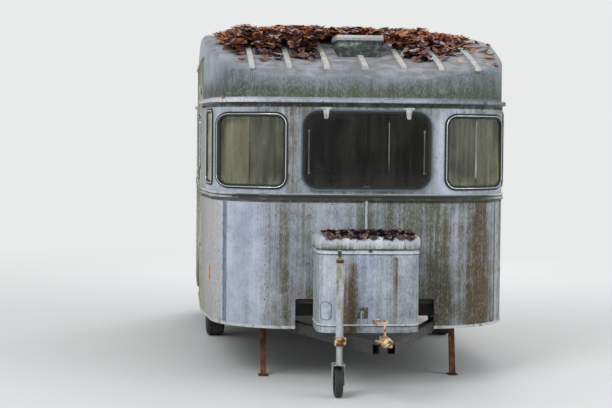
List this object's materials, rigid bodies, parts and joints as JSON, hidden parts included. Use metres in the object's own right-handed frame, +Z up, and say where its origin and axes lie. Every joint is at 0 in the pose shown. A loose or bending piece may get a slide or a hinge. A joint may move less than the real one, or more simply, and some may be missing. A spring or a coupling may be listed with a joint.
{
  "type": "touring caravan",
  "caption": "Small old touring caravan with a bowed window front, moulded roof cap, drawbar locker and corner steadies, standing parked on its wheels and jockey wheel.",
  "frame": {"origin": "on the ground, under the middle of the overall width and length", "axes": "+Y to the rear, away from the drawbar; +X to the right as seen from the drawbar; +Z up"},
  "size_m": [2.244, 5.764, 2.497],
  "materials": {
    "body_white": "weathered gloss",
    "grp_white": "weathered moulded gloss",
    "bare_aluminium": "satin",
    "window_rubber": "matt",
    "clear_acrylic": "clear",
    "smoked_acrylic": "smoked",
    "hinge_white": "moulded",
    "hatch_translucent": "translucent moulded",
    "black_steel": "worn",
    "rusty_steel": "rusted",
    "zinc_steel": "dull zinc",
    "plywood": "plain",
    "veneer": "satin",
    "cushion_fabric": "woven",
    "curtain_fabric": "woven",
    "black_plastic": "matt",
    "lamp_plastic": "moulded lens",
    "plate_white": "blank",
    "tyre_rubber": "worn",
    "rim_paint": "satin"
  },
  "bodies": {
    "caravan": {"chassis": "black_steel", "drawbar": "black_steel", "axle": "black_steel", "coupling_head": "rusty_steel", "coupling_lever": "rusty_steel", "floor": "plywood", "wheel_boxes": "black_plastic", "front_wall": "body_white", "rear_wall": "body_white", "side_wall_left": "body_white", "side_wall_right": "body_white", "roof": "grp_white", "hatch_curb": "hatch_translucent", "belt_moulding": "bare_aluminium", "belt_insert": "window_rubber", "cover_strips": "body_white", "window_rubbers": "window_rubber", "window_glass": "clear_acrylic", "centre_panes": "smoked_acrylic", "centre_window_fittings": "hinge_white", "door_hinge_knuckles": "zinc_steel", "lamps": "lamp_plastic", "number_plate": "plate_white", "locker_body": "grp_white", "locker_fittings": "black_plastic", "jockey_outer_tube": "zinc_steel", "jockey_clamp": "rusty_steel", "benches": "plywood", "cushions": "cushion_fabric", "table": "veneer", "kitchen_unit": "veneer", "wardrobe": "veneer", "curtains": "curtain_fabric", "curtain_rails": "bare_aluminium"},
    "road_wheel_left": {"rim_left": "rim_paint", "tyre_left": "tyre_rubber"},
    "road_wheel_right": {"rim_right": "rim_paint", "tyre_right": "tyre_rubber"},
    "door": {"door_leaf": "body_white", "door_rubber": "window_rubber", "door_glass": "clear_acrylic", "door_fittings": "zinc_steel"},
    "locker_cover": {"locker_lid": "grp_white"},
    "hatch_cover": {"hatch_lid": "grp_white"},
    "jockey_leg": {"jockey_inner_tube": "zinc_steel"},
    "jockey_swivel": {"jockey_fork": "zinc_steel"},
    "jockey_roller": {"jockey_wheel": "black_plastic"},
    "leg_front_left": {"steady_front_left": "rusty_steel"},
    "leg_front_right": {"steady_front_right": "rusty_steel"},
    "leg_rear_left": {"steady_rear_left": "rusty_steel"},
    "leg_rear_right": {"steady_rear_right": "rusty_steel"}
  },
  "joints": [
    {"name": "wheel_left_spin", "type": "hinge", "parent": "caravan", "child": "road_wheel_left", "pos_m": [-0.958, 0.682, 0.29], "axis": [1, 0, 0], "continuous": true},
    {"name": "wheel_right_spin", "type": "hinge", "parent": "caravan", "child": "road_wheel_right", "pos_m": [0.958, 0.682, 0.29], "axis": [1, 0, 0], "continuous": true},
    {"name": "door_swing", "type": "hinge", "parent": "caravan", "child": "door", "pos_m": [-1.111, -0.571, 1.386], "axis": [0, 0, 1], "range_deg": [0, 110]},
    {"name": "locker_lid_swing", "type": "hinge", "parent": "caravan", "child": "locker_cover", "pos_m": [-0.031, -1.868, 0.944], "axis": [-1, 0, 0], "range_deg": [0, 72]},
    {"name": "hatch_lid_swing", "type": "hinge", "parent": "caravan", "child": "hatch_cover", "pos_m": [0, -0.928, 2.352], "axis": [-1, 0, 0], "range_deg": [0, 60]},
    {"name": "jockey_lift", "type": "slide", "parent": "caravan", "child": "jockey_leg", "axis": [0, 0, 1], "range_m": [-0.06, 0.1]},
    {"name": "jockey_turn", "type": "hinge", "parent": "jockey_leg", "child": "jockey_swivel", "pos_m": [-0.24, -2.368, 0.216], "axis": [0, 0, 1], "continuous": true},
    {"name": "jockey_roll", "type": "hinge", "parent": "jockey_swivel", "child": "jockey_roller", "pos_m": [-0.24, -2.313, 0.1], "axis": [1, 0, 0], "continuous": true},
    {"name": "leg_front_left_fold", "type": "hinge", "parent": "caravan", "child": "leg_front_left", "pos_m": [-0.672, -1.338, 0.43], "axis": [1, 0, 0], "range_deg": [0, 95]},
    {"name": "leg_rear_left_fold", "type": "hinge", "parent": "caravan", "child": "leg_rear_left", "pos_m": [-0.672, 2.422, 0.43], "axis": [-1, 0, 0], "range_deg": [0, 95]},
    {"name": "leg_front_right_fold", "type": "hinge", "parent": "caravan", "child": "leg_front_right", "pos_m": [0.672, -1.338, 0.43], "axis": [1, 0, 0], "range_deg": [0, 95]},
    {"name": "leg_rear_right_fold", "type": "hinge", "parent": "caravan", "child": "leg_rear_right", "pos_m": [0.672, 2.422, 0.43], "axis": [-1, 0, 0], "range_deg": [0, 95]}
  ]
}
